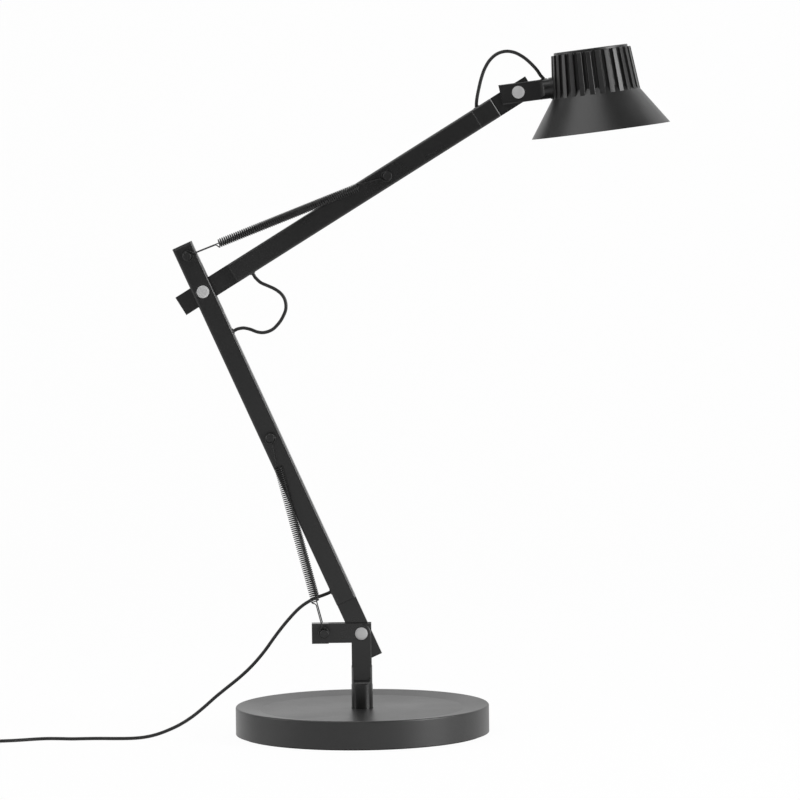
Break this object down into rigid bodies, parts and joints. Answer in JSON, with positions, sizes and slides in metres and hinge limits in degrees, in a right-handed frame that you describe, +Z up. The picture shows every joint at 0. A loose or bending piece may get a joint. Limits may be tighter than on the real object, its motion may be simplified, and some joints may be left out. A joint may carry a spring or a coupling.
{
  "type": "desk lamp",
  "caption": "Jointed desk lamp: heavy round swivel base, square arms with side springs, and a finned aluminium head with a conical shade.",
  "frame": {"origin": "centre of the round base on the table, under the foot pad", "axes": "+Z up; +X towards the side the head reaches over; the two arms lie in the XZ plane; the main view looks along +Y"},
  "size_m": [0.7097, 0.2952, 0.649],
  "materials": {
    "black_coat": "satin black powder coat on aluminium",
    "steel_coat": "satin black powder coat on steel",
    "ballast_steel": "plain steel ballast",
    "zinc_steel": "zinc plated steel",
    "cap_silver": "satin turned steel",
    "black_steel": "black oxide steel",
    "spring_wire": "dark spring wire",
    "nylon": "natural nylon",
    "black_bearing": "black bearing plastic",
    "cable_jacket": "smooth black cable jacket",
    "black_rubber": "soft black rubber",
    "foot_rubber": "ribbed foam rubber",
    "black_plastic": "fine textured black plastic",
    "pin_metal": "bright nickel plate",
    "white_mask": "white lamp board on aluminium",
    "phosphor": "yellow lamp phosphor",
    "white_gloss": "glossy white reflector",
    "frosted": "frosted white lens",
    "green_board": "green circuit board"
  },
  "bodies": {
    "base": {"base_cover": "steel_coat", "bottom_plate": "zinc_steel", "foot_pad": "foot_rubber", "ballast_ring": "ballast_steel", "ballast_screws": "zinc_steel", "swivel_bush": "black_bearing"},
    "stand": {"post_bracket": "black_coat", "post_washer": "zinc_steel", "post_nut": "zinc_steel", "lower_pivot_pin": "cap_silver", "lower_pivot_screw": "cap_silver", "lower_pivot_washers": "nylon", "bracket_spring_stud": "black_steel", "lead_cable": "cable_jacket", "lead_coil": "cable_jacket", "coil_tie": "black_rubber", "supply_tail": "cable_jacket", "supply_relief": "black_rubber", "supply_case": "black_plastic", "supply_cover": "black_plastic", "plug_pins": "pin_metal"},
    "lower_arm": {"lower_arm_tube": "black_coat", "lower_tongue": "black_coat", "lower_end_cap": "black_plastic", "lower_spring_stud": "black_steel", "elbow_spring_stud": "black_steel", "elbow_pivot_pin": "cap_silver", "elbow_pivot_screw": "cap_silver", "elbow_spacers": "nylon", "lower_grommets": "black_rubber", "lower_arm_cable": "cable_jacket", "lower_spring_front": "spring_wire", "lower_spring_rear": "spring_wire"},
    "upper_arm": {"upper_arm_tube": "black_coat", "elbow_tongue": "black_coat", "head_tongue": "black_coat", "upper_spring_stud": "black_steel", "upper_grommets": "black_rubber", "upper_arm_cable": "cable_jacket", "upper_spring_front": "spring_wire", "upper_spring_rear": "spring_wire", "elbow_cable_loop": "cable_jacket"},
    "head": {"head_fork": "black_coat", "head_housing": "black_coat", "head_cap": "black_coat", "head_pivot_pin": "cap_silver", "head_pivot_screw": "cap_silver", "head_pivot_washers": "nylon", "neck_set_screw": "zinc_steel", "neck_grommet": "black_rubber", "head_cable": "cable_jacket", "head_cable_loop": "cable_jacket", "led_board": "white_mask", "led_emitter": "phosphor", "led_screws": "zinc_steel", "reflector": "white_gloss", "lens": "frosted", "lens_ring": "black_coat", "dimmer_board": "green_board", "board_link": "black_plastic"}
  },
  "joints": [
    {"name": "base_swivel", "type": "hinge", "parent": "base", "child": "stand", "pos_m": [0, 0, 0.02], "axis": [0, 0, 1], "continuous": true},
    {"name": "lower_hinge", "type": "hinge", "parent": "stand", "child": "lower_arm", "pos_m": [0, 0, 0.0959], "axis": [0, -1, 0], "range_deg": [-45, 28], "deforming": ["lower_spring_front", "lower_spring_rear", "lead_cable"]},
    {"name": "elbow_hinge", "type": "hinge", "parent": "lower_arm", "child": "upper_arm", "pos_m": [-0.1448, 0, 0.42112], "axis": [0, 1, 0], "range_deg": [-35, 50], "deforming": ["upper_spring_front", "upper_spring_rear", "elbow_cable_loop"]},
    {"name": "head_tilt", "type": "hinge", "parent": "upper_arm", "child": "head", "pos_m": [0.15373, 0, 0.60478], "axis": [0, -1, 0], "range_deg": [-50, 70], "deforming": ["head_cable_loop"]}
  ]
}
